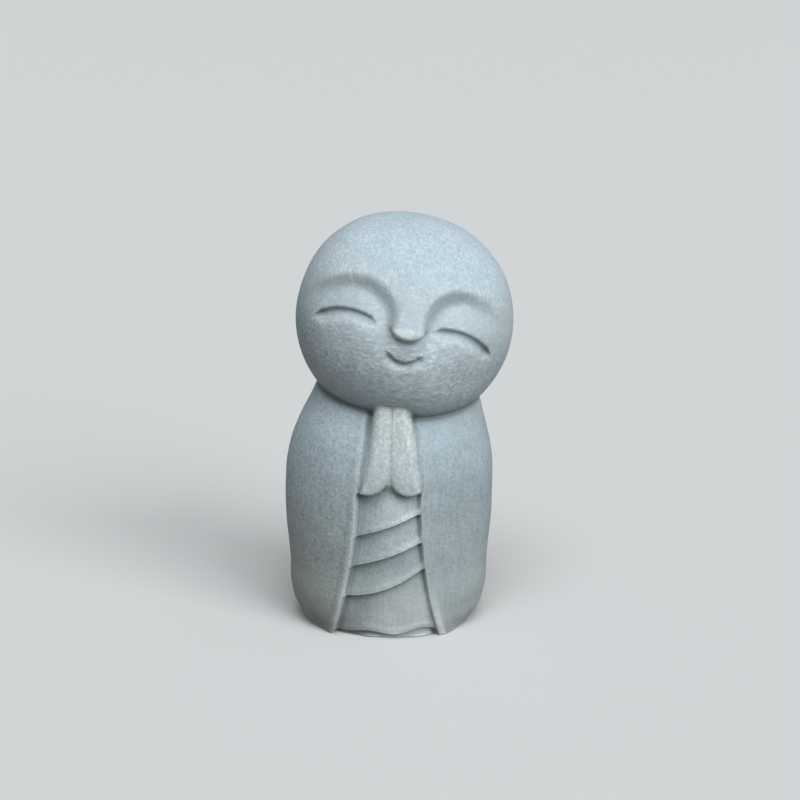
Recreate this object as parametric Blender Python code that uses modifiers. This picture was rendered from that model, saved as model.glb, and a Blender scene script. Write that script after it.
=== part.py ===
"""Jizo statue: a small figure cast in one piece of grey concrete.

Units are metres, with +Z up. The figure faces -Y and its flat underside lies on z = 0,
with the origin at the centre of that underside. The body is an oval turned form under a
long cloak. The cloak opens at the front on a recessed under-robe with three slanting folds.
The hands are joined under the chin, and a nearly round head leans to +X.
"""

import math

import bmesh
import bpy
import numpy as np
from mathutils import Vector
from mathutils.geometry import interpolate_bezier

# ---- Body and cloak ----

# Height and half-width of the cloak, from the underside to the neck inside the head
CLOAK_STATIONS = (
    (0.000, 0.0173),
    (0.003, 0.0196),
    (0.007, 0.0211),
    (0.014, 0.0214),
    (0.022, 0.0222),
    (0.030, 0.0227),
    (0.038, 0.0222),
    (0.046, 0.0201),
    (0.054, 0.0169),
    (0.062, 0.0125),
)
BODY_DEPTH_SHARE = 0.9
TURNED_STEPS = 60
CLOAK_RING_GAP = 0.0025
BELOW_GROUND = 0.002

# ---- Cloak opening, down the front ----

OPENING_CENTRE_X = 0.0003
OPENING_HALF_WIDTH = 0.0064
OPENING_WIDEST_AT = 0.033
OPENING_TOP = 0.053
CHIN_NARROWING = 0.0023
FLARE_AT_HEM = {-1: 0.0055, 1: 0.0041}
FLARE_POWER = {-1: 1.75, 1: 2.1}
OPENING_RUNGS = 18
OPENING_CUT_DEPTH = 0.020

RIM_RADIUS_AT_HEM = 0.0010
RIM_RADIUS_AT_CHIN = 0.0006
RIM_RISE = 0.0004

# ---- Under-robe ----

FOLD_HEIGHTS = (0.0258, 0.0191, 0.0120)
FOLD_RISE = 0.40
FOLD_SAG = 10.0
FOLD_REACH = 0.013
FOLD_LEAN_ENDS = 0.034
FOLD_LEAN_FADE = 0.010
FOLD_LIP_DROP = 0.0004
ROBE_RECESS_AT_FOLD = 0.0010
ROBE_RECESS_UNDER_FOLD = 0.0018
ROBE_RECESS_AT_TOP = 0.0020
HEM_HEIGHTS = (0.007, 0.003, 0.0)

# ---- Feet under the hem ----

FOOT_SPACING = 0.0088
FOOT_CENTRE_X = 0.0006
FOOT_RADII = (0.0026, 0.0030, 0.0012)
FOOT_ROUNDNESS = (20, 12)
ARCH_RADIUS = 0.0040
ARCH_HEIGHT = 0.0016
ARCH_DEPTH = 0.0024
ARCH_SEGMENTS = 32

# ---- Joined hands ----

HANDS_CENTRE_X = 0.0003
HAND_WIDTH_AT_CUFF = 0.0064
HAND_WIDTH_AT_TIP = 0.0043
CUFF_HEIGHT = 0.0325
CUFF_ARC_WIDTH = 0.0036
CUFF_ARC_HEIGHT = 0.0031
CUFF_CORNER_LIFT = 0.0003
TIP_HEIGHT = 0.0520
TIP_ARC_HEIGHT = 0.0026
HAND_THICKNESS = 0.0080
HAND_EDGE_RADIUS = 0.0011
HAND_FRONT_Y = -0.0197
HAND_LEAN = math.radians(6.3)
HANDS_OVERLAP = 0.0003

# ---- Head ----

HEAD_CENTRE = Vector((0.0033, -0.0015, 0.0671))
HEAD_RADII = Vector((0.0235, 0.0226, 0.0230))
HEAD_ROLL = math.radians(12.7)
HEAD_SEGMENTS = 52
HEAD_RINGS = 34

# Face, as (right, up) from the head's centre, seen square on
FACE_MIDLINE = 0.0006
NOSE_TIP_UP = 0.0016
NOSE_TIP_RADII = (0.0034, 0.0024, 0.0025)
NOSE_TIP_SUNK = 0.0003
NOSE_RIDGE_UP = 0.0070
NOSE_RIDGE_RADII = (0.0035, 0.0028, 0.0074)
NOSE_RIDGE_SUNK = 0.0019
NOSE_ROUNDNESS = (24, 16)
# Curves run outwards from the nose, on the left (-1) and on the right (1)
BROW_CURVES = {
    -1: ((0.0036, 0.0020), (0.0017, 0.0110), (0.0140, 0.0127), (0.0204, 0.0025)),
    1: ((0.0042, 0.0020), (0.0022, 0.0120), (0.0122, 0.0127), (0.0196, 0.0050)),
}
BROW_RADIUS = 0.0024
BROW_DEPTH = 0.0010
EYE_CURVES = {
    -1: ((0.0062, 0.0017), (0.0093, 0.0033), (0.0150, 0.0036), (0.0198, -0.0020)),
    1: ((0.0050, 0.0017), (0.0094, 0.0041), (0.0149, 0.0030), (0.0192, -0.0022)),
}
EYE_RADIUS = 0.0006
EYE_DEPTH = 0.0005
MOUTH_CURVE = ((-0.0036, -0.0027), (-0.0009, -0.0065), (0.0030, -0.0053), (0.0047, -0.0023))
MOUTH_RADIUS = 0.00045
MOUTH_DEPTH = 0.0004
FACE_LINE_POINTS = 14

CONCRETE_COLOUR = (0.36, 0.41, 0.44, 1.0)
CONCRETE_ROUGHNESS = 0.9
CREASE_ANGLE = math.radians(35.0)
GROUND_SIZE = 0.1


# ---- Outlines ----


def cloak_half_width(height):
    """Half-width of the cloak at a height, on a smooth curve through the stations."""
    heights, widths = np.array(CLOAK_STATIONS).T
    slopes = np.gradient(widths, heights)
    i = int(np.clip(np.searchsorted(heights, height) - 1, 0, len(heights) - 2))
    span = heights[i + 1] - heights[i]
    t = (height - heights[i]) / span
    start = (1 + 2 * t) * (1 - t) ** 2 * widths[i] + t * (1 - t) ** 2 * span * slopes[i]
    end = (3 - 2 * t) * t**2 * widths[i + 1] + (t - 1) * t**2 * span * slopes[i + 1]
    return float(start + end)


def cloak_front(x, height):
    """The cloak's surface at its front, as a Y value."""
    half_width = cloak_half_width(max(height, 0.0))
    return -BODY_DEPTH_SHARE * math.sqrt(half_width**2 - x**2)


def opening_edge(side, height):
    """The cloak's front edge on one side (-1 or 1): flared to the hem, closing to the chin."""
    above = max(height - OPENING_WIDEST_AT, 0.0) / (OPENING_TOP - OPENING_WIDEST_AT)
    below = max(OPENING_WIDEST_AT - height, 0.0) / OPENING_WIDEST_AT
    half_width = OPENING_HALF_WIDTH - CHIN_NARROWING * above**1.5
    half_width += FLARE_AT_HEM[side] * below ** FLARE_POWER[side]
    return OPENING_CENTRE_X + side * half_width


def opening_heights():
    """Heights up the cloak's opening, from below the ground to the chin."""
    return np.linspace(-BELOW_GROUND, OPENING_TOP, OPENING_RUNGS)


def cloak_profile():
    """Cloak profile from the axis at the neck, down the outside, to the axis below ground."""
    neck = CLOAK_STATIONS[-1][0]
    rings = round(neck / CLOAK_RING_GAP)
    heights = np.linspace(neck, 0.0, rings + 1)
    profile = [(0.0, neck)]
    profile += [(cloak_half_width(height), height) for height in heights]
    foot = CLOAK_STATIONS[0][1]
    return profile + [(foot, -BELOW_GROUND), (0.0, -BELOW_GROUND)]


def robe_profile():
    """Under-robe profile: each layer swells down to its fold and steps in under it."""
    neck = CLOAK_STATIONS[-1][0]
    top = 0.5 * (neck + FOLD_HEIGHTS[0])
    profile = [(0.0, neck)]
    for height in np.linspace(neck, top, 6):
        profile.append((cloak_half_width(height) - ROBE_RECESS_AT_TOP, height))
    for fold in FOLD_HEIGHTS:
        under = fold - FOLD_LIP_DROP
        profile.append((cloak_half_width(fold) - ROBE_RECESS_AT_FOLD, fold))
        profile.append((cloak_half_width(under) - ROBE_RECESS_UNDER_FOLD, under))
    for height in HEM_HEIGHTS:
        profile.append((cloak_half_width(height) - ROBE_RECESS_AT_FOLD, height))
    foot = profile[-1][0]
    return profile + [(foot, -BELOW_GROUND), (0.0, -BELOW_GROUND)]


def hand_outline(side):
    """One hand in its sleeve, flat in (x, z): a scalloped cuff below, a round tip above."""
    inner = -HANDS_OVERLAP
    cusp = CUFF_HEIGHT + CUFF_ARC_HEIGHT
    outline = []
    for angle in np.linspace(0.0, 0.5 * math.pi, 6):
        across = inner + CUFF_ARC_WIDTH * (1.0 - math.cos(angle))
        outline.append((across, cusp - CUFF_ARC_HEIGHT * math.sin(angle)))
    outline.append((HAND_WIDTH_AT_CUFF, CUFF_HEIGHT + CUFF_CORNER_LIFT))
    tip_middle = 0.5 * (inner + HAND_WIDTH_AT_TIP)
    tip_half = 0.5 * (HAND_WIDTH_AT_TIP - inner)
    for angle in np.linspace(0.0, math.pi, 9):
        across = tip_middle + tip_half * math.cos(angle)
        outline.append((across, TIP_HEIGHT + TIP_ARC_HEIGHT * (math.sin(angle) - 1.0)))
    return [(HANDS_CENTRE_X + side * across, height) for across, height in outline]


# ---- Building blocks ----


def add_object(name, data, collection):
    """A new object in a collection."""
    new = bpy.data.objects.new(name, data)
    collection.objects.link(new)
    return new


def add_tool(name, data):
    """A hidden shape that cuts or joins the figure."""
    tool = add_object(name, data, tools)
    tool.hide_render = True
    tool.display_type = "WIRE"
    return tool


def turned_mesh(name, profile):
    """A mesh with the edges of a profile, as (radius, height) pairs."""
    mesh = bpy.data.meshes.new(name)
    points = [(radius, 0.0, height) for radius, height in profile]
    edges = [(i, i + 1) for i in range(len(points) - 1)]
    mesh.from_pydata(points, edges, [])
    return mesh


def turn(target):
    """Turn a profile about Z into a closed form, then flatten it to the body's oval plan."""
    screw = target.modifiers.new("turned", "SCREW")
    screw.steps = TURNED_STEPS
    screw.render_steps = TURNED_STEPS
    screw.use_merge_vertices = True
    screw.merge_threshold = 0.0001
    target.scale.y = BODY_DEPTH_SHARE


def applied(source):
    """The object's evaluated shape, welded, as a plain mesh in world space."""
    bpy.context.view_layer.update()
    shape = source.evaluated_get(bpy.context.evaluated_depsgraph_get())
    mesh = bpy.data.meshes.new_from_object(shape)
    mesh.transform(source.matrix_world)
    welded = bmesh.new()
    welded.from_mesh(mesh)
    bmesh.ops.remove_doubles(welded, verts=welded.verts, dist=0.00001)
    welded.to_mesh(mesh)
    welded.free()
    bpy.data.objects.remove(source)
    return mesh


def combine(target, operation, tool):
    """Join a tool to the target, or cut it away."""
    step = target.modifiers.new(tool.name, "BOOLEAN")
    step.operation = operation
    step.solver = "EXACT"
    step.object = tool


def tube_mesh(name, points, radii):
    """A capped tube along points, with a radius at each."""
    curve = bpy.data.curves.new(name, "CURVE")
    curve.dimensions = "3D"
    curve.bevel_depth = 1.0
    curve.bevel_resolution = 2
    curve.use_fill_caps = True
    spline = curve.splines.new("POLY")
    spline.points.add(len(points) - 1)
    for spot, point, radius in zip(spline.points, points, radii):
        spot.co = (*point, 1.0)
        spot.radius = radius
    return applied(add_object(name, curve, tools))


def slab_mesh(name, outline, middle, thickness, edge_radius=0.0):
    """A flat (x, z) outline thickened along Y about `middle`, its edges rounded."""
    curve = bpy.data.curves.new(name, "CURVE")
    curve.dimensions = "2D"
    curve.fill_mode = "BOTH"
    curve.extrude = 0.5 * thickness - edge_radius
    curve.bevel_depth = edge_radius
    curve.bevel_resolution = 2
    curve.offset = -edge_radius
    spline = curve.splines.new("POLY")
    spline.points.add(len(outline) - 1)
    for spot, (x, z) in zip(spline.points, outline):
        spot.co = (x, z, 0.0, 1.0)
    spline.use_cyclic_u = True
    slab = add_object(name, curve, tools)
    slab.rotation_euler.x = 0.5 * math.pi
    slab.location.y = middle
    return applied(slab)


def ellipsoid_mesh(name, radii, segments, rings):
    """A round form with three radii."""
    ball = bmesh.new()
    bmesh.ops.create_uvsphere(ball, u_segments=segments, v_segments=rings, radius=1.0)
    bmesh.ops.scale(ball, vec=radii, verts=ball.verts)
    mesh = bpy.data.meshes.new(name)
    ball.to_mesh(mesh)
    ball.free()
    return mesh


# ---- Cloak and under-robe ----


def front_opening():
    """The cut that opens the cloak down its front."""
    heights = opening_heights()
    outline = [(opening_edge(-1, height), height) for height in heights]
    outline += [(opening_edge(1, height), height) for height in reversed(heights)]
    middle = cloak_front(0.0, OPENING_WIDEST_AT)
    cut = slab_mesh("front_opening", outline, middle, OPENING_CUT_DEPTH)
    return add_tool("front_opening", cut)


def under_robe():
    """The robe inside the cloak, its folds slanting up to +X."""
    turned = add_object("under_robe", turned_mesh("under_robe", robe_profile()), tools)
    turn(turned)
    mesh = applied(turned)
    for vertex in mesh.vertices:
        x = min(max(vertex.co.x, -FOLD_REACH), FOLD_REACH)
        share = (FOLD_LEAN_ENDS + FOLD_LEAN_FADE - vertex.co.z) / FOLD_LEAN_FADE
        lean = min(max(share, 0.0), 1.0) * (vertex.co.z > 0.0)
        lean *= min(vertex.co.z / FOLD_HEIGHTS[-1], 1.0)
        vertex.co.z += lean * (FOLD_RISE * x + FOLD_SAG * x * x)
    return add_tool("under_robe", mesh)


def cloak_rim(side):
    """The raised rim along one front edge of the cloak."""
    points = []
    radii = []
    for height in opening_heights():
        share = height / OPENING_TOP
        radius = RIM_RADIUS_AT_HEM + share * (RIM_RADIUS_AT_CHIN - RIM_RADIUS_AT_HEM)
        x = opening_edge(side, height) + side * radius
        points.append((x, cloak_front(x, height) + radius - RIM_RISE, height))
        radii.append(radius)
    name = "cloak_rim_left" if side < 0 else "cloak_rim_right"
    return add_tool(name, tube_mesh(name, points, radii))


def foot_places():
    """X of each foot."""
    return [FOOT_CENTRE_X + side * 0.5 * FOOT_SPACING for side in (-1, 1)]


def hem_arch(x):
    """A shallow arch in the hem over one foot."""
    arch = bmesh.new()
    bmesh.ops.create_cone(
        arch,
        cap_ends=True,
        segments=ARCH_SEGMENTS,
        radius1=ARCH_RADIUS,
        radius2=ARCH_RADIUS,
        depth=2.0 * ARCH_DEPTH,
    )
    mesh = bpy.data.meshes.new("hem_arch")
    arch.to_mesh(mesh)
    arch.free()
    tool = add_tool("hem_arch", mesh)
    tool.rotation_euler.x = 0.5 * math.pi
    front = cloak_front(x, 0.0) + ROBE_RECESS_AT_FOLD
    tool.location = (x, front, ARCH_HEIGHT - ARCH_RADIUS)
    return tool


def foot(x):
    """The rounded front of one foot, under its arch."""
    tool = add_tool("foot", ellipsoid_mesh("foot", FOOT_RADII, *FOOT_ROUNDNESS))
    front = cloak_front(x, 0.0) + ROBE_RECESS_AT_FOLD
    tool.location = (x, front + FOOT_RADII[1], 0.0)
    return tool


# ---- Hands ----


def hand(side):
    """One of the joined hands, leaning back to the chest."""
    name = "hand_left" if side < 0 else "hand_right"
    middle = 0.5 * HAND_THICKNESS
    mesh = slab_mesh(name, hand_outline(side), middle, HAND_THICKNESS, HAND_EDGE_RADIUS)
    for vertex in mesh.vertices:
        vertex.co.z -= CUFF_HEIGHT
    tool = add_tool(name, mesh)
    tool.location = (0.0, HAND_FRONT_Y, CUFF_HEIGHT)
    tool.rotation_euler.x = -HAND_LEAN
    return tool


# ---- Head ----


def face_point(across, up, depth=0.0):
    """A point on the face, sunk to a depth, in the head's own frame."""
    share = (across / HEAD_RADII.x) ** 2 + (up / HEAD_RADII.z) ** 2
    surface = Vector((across, -HEAD_RADII.y * math.sqrt(1.0 - share), up))
    return surface - surface.normalized() * depth


def on_head(tool):
    """Hang a tool on the head's frame, so that it leans with the head."""
    tool.parent = head_frame
    return tool


def face_line(name, corners, radius, depths):
    """A round-bottomed line carved along a curve on the face, to a depth at each point."""
    handles = [Vector((across, up, 0.0)) for across, up in corners]
    spots = interpolate_bezier(*handles, FACE_LINE_POINTS)
    points = [face_point(spot.x, spot.y, depth - radius) for spot, depth in zip(spots, depths)]
    radii = [radius] * FACE_LINE_POINTS
    return on_head(add_tool(name, tube_mesh(name, points, radii)))


def nose_form(name, up, radii, sunk):
    """A rounded form on the face's midline, lying along the face."""
    tool = on_head(add_tool(name, ellipsoid_mesh(name, radii, *NOSE_ROUNDNESS)))
    tool.location = face_point(FACE_MIDLINE, up, sunk)
    tool.rotation_euler.x = -math.asin(up / HEAD_RADII.z)
    return tool


def head():
    """The head: a ball, with nose, brows, closed eyes and smile."""
    ball = ellipsoid_mesh("head", HEAD_RADII, HEAD_SEGMENTS, HEAD_RINGS)
    shape = on_head(add_tool("head", ball))
    along = np.linspace(0.0, 1.0, FACE_LINE_POINTS)
    fading = 1.0 - along**2
    swelling = np.sin(math.pi * along) ** 0.5
    for side, word in ((-1, "left"), (1, "right")):
        brow = [(side * across, up) for across, up in BROW_CURVES[side]]
        line = face_line("brow_" + word, brow, BROW_RADIUS, BROW_DEPTH * fading)
        combine(shape, "DIFFERENCE", line)
        eye = [(side * across, up) for across, up in EYE_CURVES[side]]
        line = face_line("eye_" + word, eye, EYE_RADIUS, EYE_DEPTH * swelling)
        combine(shape, "DIFFERENCE", line)
    smile = face_line("smile", MOUTH_CURVE, MOUTH_RADIUS, MOUTH_DEPTH * swelling)
    combine(shape, "DIFFERENCE", smile)
    ridge = nose_form("nose_ridge", NOSE_RIDGE_UP, NOSE_RIDGE_RADII, NOSE_RIDGE_SUNK)
    combine(shape, "UNION", ridge)
    tip = nose_form("nose_tip", NOSE_TIP_UP, NOSE_TIP_RADII, NOSE_TIP_SUNK)
    combine(shape, "UNION", tip)
    return shape


# ---- The figure ----


def ground():
    """All that lies below the underside."""
    block = bmesh.new()
    bmesh.ops.create_cube(block, size=GROUND_SIZE)
    mesh = bpy.data.meshes.new("ground")
    block.to_mesh(mesh)
    block.free()
    tool = add_tool("ground", mesh)
    tool.location.z = -0.5 * GROUND_SIZE
    return tool


def cast_concrete():
    """Fine grey concrete, dull and slightly blue."""
    concrete = bpy.data.materials.new("cast_concrete")
    concrete.use_nodes = True
    shader = concrete.node_tree.nodes["Principled BSDF"]
    shader.inputs["Base Color"].default_value = CONCRETE_COLOUR
    shader.inputs["Roughness"].default_value = CONCRETE_ROUGHNESS
    shader.inputs["Metallic"].default_value = 0.0
    return concrete


def jizo_figure():
    """The whole figure in one solid."""
    carved = add_object("carved", turned_mesh("carved", cloak_profile()), tools)
    turn(carved)
    combine(carved, "DIFFERENCE", front_opening())
    combine(carved, "UNION", under_robe())
    for side in (-1, 1):
        combine(carved, "UNION", cloak_rim(side))
    for x in foot_places():
        combine(carved, "DIFFERENCE", hem_arch(x))
        combine(carved, "UNION", foot(x))
    for side in (-1, 1):
        combine(carved, "UNION", hand(side))
    combine(carved, "UNION", head())
    combine(carved, "DIFFERENCE", ground())
    mesh = applied(carved)
    mesh.materials.clear()
    mesh.materials.append(cast_concrete())
    mesh.shade_smooth()
    mesh.set_sharp_from_angle(angle=CREASE_ANGLE)
    return add_object("jizo_figure", mesh, parts)


for old in list(bpy.data.objects):
    bpy.data.objects.remove(old)

parts = bpy.data.collections.new("jizo_statue")
tools = bpy.data.collections.new("tools")
bpy.context.scene.collection.children.link(parts)
bpy.context.scene.collection.children.link(tools)

head_frame = add_object("head_frame", None, tools)
head_frame.location = HEAD_CENTRE
head_frame.rotation_euler.y = HEAD_ROLL

jizo_figure()
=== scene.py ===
"""The finish of a jizo statue: a small figure cast in one piece of grey concrete.

The casting is roughed out from plain forms, remeshed, and then carved: its vertices are
moved onto the statue's surface, which is worked out here in millimetres as a signed
distance. The frame is in metres, +Z up, and the figure faces -Y. Left and right are as
seen from the front, so left is -X.
"""

import math

import bmesh
import bpy
import numpy as np
from mathutils import Matrix, Vector, noise
from mathutils.geometry import interpolate_bezier


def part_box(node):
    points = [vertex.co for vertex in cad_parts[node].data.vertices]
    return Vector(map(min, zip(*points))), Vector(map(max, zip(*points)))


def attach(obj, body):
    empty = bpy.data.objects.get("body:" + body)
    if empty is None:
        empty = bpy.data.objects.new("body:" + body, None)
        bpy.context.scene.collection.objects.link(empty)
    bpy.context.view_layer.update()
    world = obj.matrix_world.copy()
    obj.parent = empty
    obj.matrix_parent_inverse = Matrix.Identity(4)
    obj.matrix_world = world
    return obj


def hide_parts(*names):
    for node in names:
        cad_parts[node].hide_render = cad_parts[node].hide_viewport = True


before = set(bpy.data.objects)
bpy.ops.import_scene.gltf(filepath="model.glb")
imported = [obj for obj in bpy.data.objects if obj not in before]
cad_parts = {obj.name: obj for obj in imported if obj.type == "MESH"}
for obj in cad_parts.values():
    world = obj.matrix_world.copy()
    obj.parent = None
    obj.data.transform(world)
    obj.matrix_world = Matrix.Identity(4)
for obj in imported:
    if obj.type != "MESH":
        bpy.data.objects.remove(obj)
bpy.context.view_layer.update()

MM = 0.001
FIGURE = "jizo_figure"
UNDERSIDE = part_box(FIGURE)[0][2] / MM

# ---- Head, in millimetres ----

HEAD_RADII = np.array((23.35, 22.6, 22.8))
# The crown's squareness, at the head's left and right, where 2 is round. It changes over a
# distance across the head, and sets in over two shares of the head's height.
CROWN_SQUARENESS = (2.17, 2.07)
SQUARENESS_ACROSS = (-7.0, 7.0)
CROWN_SHARES = (-0.2, 0.4)
HEAD_ROLL = math.radians(12.7)
HEAD_TURN = np.array(Matrix.Rotation(HEAD_ROLL, 3, "Y"))
HEAD_CENTRE = np.array((3.3, -1.5, 67.1))
# The head is deeper under the mouth by these shares, at its left and right
CHIN_FULLNESS = (0.02, 0.08)
CHIN_ACROSS = (2.5, 9.0)
CHIN_DOWN = (-6.0, -17.0)
NECK_FILLET = 0.6

# The face, as (out from the midline or right, up) from the head's centre, seen square on.
# Curves run outwards from the nose, on the left (-1) and on the right (1).
BROW_CURVES = {
    -1: ((3.0, -1.5), (1.7, 11.2), (14.6, 12.6), (20.8, 2.0)),
    1: ((4.0, -1.8), (2.0, 12.8), (12.2, 12.7), (19.8, 5.0)),
}
CURVE_POINTS = 60
# How far a curve runs straight on past its ends, in lengths of its last step
CURVE_LEAD = 20.0
# The face's relief sets in over these distances in front of the head's middle, and its
# halves meet over this distance either side of the midline
FACE_FADE = (3.0, 8.0)
HALF_FACE_FADE = 0.5
# Share along the brow, and the socket's depth under it
BROW_DEPTHS = {
    -1: (
        (0.0, 0.0), (0.08, 0.5), (0.2, 2.2), (0.35, 2.0), (0.5, 1.6), (0.7, 1.85), (0.9, 1.5),
        (1.0, 0.0),
    ),
    1: ((0.0, 2.0), (0.1, 3.0), (0.25, 3.0), (0.45, 2.1), (0.7, 1.8), (0.9, 1.2), (1.0, 0.0)),
}
# The brow's step is sharper near the nose, up to these shares along it
BROW_STEPS = (1.6, 2.3)
BROW_STEP_SHARES = (0.05, 0.35)
BROW_REACH = 12.0
SOCKET_SPOTS = 40
SOCKET_REACH = 4.4
# The swell over the brow, as a share of the socket, its place off the curve and its spread
BROW_SWELL = 0.1
BROW_SWELL_AT = -2.2
BROW_SWELL_SPREAD = 1.2
# The strokes of the eyes and mouth thin out over this share of each end
STROKE_TAPER = 0.18
STROKE_THINNEST = 0.4
STROKE_REACH = 5.0

EYE_CURVES = {
    -1: ((6.2, 1.7), (9.3, 3.3), (15.0, 3.6), (19.8, -2.0)),
    1: ((4.8, 1.75), (9.4, 4.1), (14.9, 3.0), (19.2, -2.2)),
}
EYE_DEPTH = 1.05
EYE_WIDTHS = (0.75, 1.3)
CHEEK_SWELL = 0.18
CHEEK_CENTRE = (10.5, -3.5)
CHEEK_SPREAD = 6.5

MOUTH_CURVE = ((-3.6, -2.7), (-0.9, -6.5), (3.0, -5.3), (4.7, -2.3))
MOUTH_DEPTH = 0.95
MOUTH_WIDTHS = (0.6, 1.2)

NOSE_TIP = (0.3, 2.0)
NOSE_LEAN = math.radians(4.0)
# Half-widths at the tip and up the ridge, and the height between them
NOSE_HALF_WIDTHS = (3.4, 2.95)
NOSE_TAPER = 4.0
NOSE_TIP_DROP = 2.0
# How far the nose stands out of the face, sunk at its top and proud at its tip, and the
# heights from the tip between which it sinks
NOSE_RELIEF = (-0.5, 2.0)
NOSE_SLOPE = (-1.5, 10.5)
NOSE_CROWN = 0.4
# Sharper under the tip than up the ridge, between two heights from the tip
NOSE_ROUNDINGS = (1.25, 1.5)
NOSE_ROUNDING_RISE = (-1.0, 1.5)
NOSE_FILLETS = (0.7, 1.8)
NOSE_FILLET_RISE = (-1.3, 0.8)
# The crease under the nose, at its left and right
NOSE_CREASE_DEPTHS = (0.05, 0.3)
NOSE_CREASE_ACROSS = (-3.0, 0.5)
NOSE_CREASE_RISE = (-1.2, 0.6)
NOSE_CREASE_OUT = 0.2
NOSE_CREASE_HALF_WIDTH = 0.45

# ---- Cloak, in millimetres ----

# Height and half-width of the cloak, from the underside to the neck inside the head
CLOAK_STATIONS = np.array(
    (
        (0.0, 18.1),
        (3.0, 20.25),
        (7.0, 21.45),
        (14.0, 21.85),
        (22.0, 22.5),
        (30.0, 22.8),
        (38.0, 22.2),
        (46.0, 19.95),
        (54.0, 16.6),
        (62.0, 12.5),
    )
)
# Height, and how far the cloak's middle sways to the right there
SWAY = (
    (0.0, -0.2), (6.0, -0.35), (12.0, -0.2), (20.0, -0.15), (28.0, -0.15), (36.0, 0.12),
    (42.0, 0.32), (46.0, 0.65), (50.0, 1.2), (58.0, 1.6),
)
# Depth as a share of width, below the hands and at the shoulders
BODY_DEPTH_SHARES = (0.9, 0.83)
SHOULDER_HEIGHTS = (40.0, 54.0)
# The front and back stand straighter than the sides at the base
BASE_DEPTH_GAIN = 0.135
BASE_DEPTH_HEIGHT = 2.2
BASE_ROUNDING = 0.5
# The front's relief sets in over these distances in front of the middle
FRONT_FADE = (2.0, 7.0)
FRONT_HALF_WIDTH = 18.0
# Relief is worked out only this near to the plain form
NEAR = 6.0

OPENING_CENTRE_X = 0.3
OPENING_HALF_WIDTH = 6.4
OPENING_WIDEST_AT = 33.0
OPENING_TOP = 53.0
CHIN_NARROWING = 2.3
NARROWING_POWER = 1.5
FLARE_AT_HEM = {-1: 5.5, 1: 3.9}
FLARE_POWER = {-1: 1.75, 1: 2.2}
# How far those curves run on, past the chin and past the hem, as shares of their length
OPENING_ENDS = (1.5, 1.1)
# From the rim to the robe's depth, as distances inside the edge
OPENING_STEPS = {-1: (-1.2, 0.45), 1: (-0.25, 0.95)}
OPENING_STEP_BY_HANDS = (-1.2, 0.9)
# Where that step changes, from the cuffs' height
OPENING_CHANGE = (-1.0, 3.0)

# Height, and the width and rise of the rim there
RIMS = {
    -1: (
        (0.0, 3.0, 0.4), (20.0, 3.0, 0.34), (33.0, 2.7, 0.26), (40.0, 2.2, 0.16),
        (52.0, 1.6, 0.06),
    ),
    1: ((0.0, 4.2, 0.6), (5.0, 3.6, 0.5), (12.0, 2.8, 0.24), (33.0, 2.4, 0.1), (52.0, 1.6, 0.04)),
}
RIM_START = -0.1
# Below 1, the rim is fullest nearer the edge
RIM_POWER = 0.75

# ---- Under-robe, hem and feet, in millimetres ----

ROBE_TOP = 37.0
# Each fold line's height at the middle, its rise to the right and its curve
FOLDS = ((25.8, 0.395, 0.010), (19.15, 0.405, 0.010), (12.0, 0.44, 0.021))
# How deep each layer lies at its lower lip and under the next, at the robe's left and right
LIP_DEPTHS = (1.2, 0.4)
TUCK_DEPTH_AT_LEFT = 2.4
# Height, and the depth under the next layer at the robe's right
TUCK_DEPTHS_AT_RIGHT = ((2.0, 0.55), (9.0, 0.85), (14.0, 1.25), (24.0, 1.45))
ROBE_HALF_WIDTH = 7.0
FOLD_STEP = 0.5
# The swell along a fold's lower lip, its height above the fold line and its spread
FOLD_LIP = 0.15
FOLD_LIP_HEIGHT = 0.9
FOLD_LIP_SPREAD = 0.7
# The shallow groove beside and behind the hands, from the opening's edge and the cuffs' height
GROOVE_DEPTH = 0.42
GROOVE_WIDTHS = (0.5, 1.6)
GROOVE_START_BESIDE = (-0.4, 0.5)
GROOVE_START_BEHIND = 2.5

HEM_LEVEL = 0.95
HEM_ARCHES = ((-4.5, 0.8, 3.4), (7.2, 1.55, 3.9))
HEM_STEP = 0.3
HEM_UNDERCUT = 0.9
FOOT_SWELL = 0.7
FOOT_HEIGHT = 1.2
# A foot's width as a share of its arch's
FOOT_SHARE = 0.8

# ---- Joined hands, in millimetres ----

HANDS = (
    # side, cuff arc's centre and radius, outer edge at the cuff and at the tip, that edge's bow,
    # tip arc's centre
    (-1, (-4.6, 38.12), 5.15, -6.3, -3.35, -0.12, -1.0),
    (1, (4.3, 36.97), 4.25, 6.95, 4.8, 0.05, 2.3),
)
# The room that the hands stand in, and a distance that is plainly clear of them
HANDS_ROOM_HALF_WIDTH = 10.0
HANDS_ROOM_BACK = -8.0
HANDS_ROOM_HEIGHTS = (28.0, 56.0)
FAR = 9.0
CUFF_HEIGHT = 33.0
TIP_HEIGHT = 49.0
TIP_ARC = 3.3
CUSP_HEIGHT = 35.9
CUSP_TAPER = 0.45
HAND_CORNER = 0.3
# At the cuffs and from a share of the way up
HAND_ROUNDING = (0.95, 2.0)
HAND_ROUNDING_SHARE = 0.35
# At the cuffs and at the tips
HAND_FRONT = (-20.8, -18.5)
# The fillet against the robe at the cuffs, and some way above them
HAND_BLEND = (0.2, 0.8)
HAND_BLEND_HEIGHT = 4.0
PALM_LINE_X = (0.1, 0.5)
PALM_LINE_DEPTH = 0.24
PALM_LINE_HALF_WIDTH = 0.38
PALM_CROWN = 0.25
PALM_HALF_WIDTH = 3.0

# ---- Mesh ----

ROUGH_RINGS = 31
ROUGH_TOP = 60.0
ROUGH_SEGMENTS = 64
ROUGH_HANDS_CENTRE = (0.4, -16.5, 42.5)
ROUGH_HANDS_RADII = (5.8, 3.2, 9.5)
ROUGH_WELD = 0.01
ROUGH_VOXEL = 0.8
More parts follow.
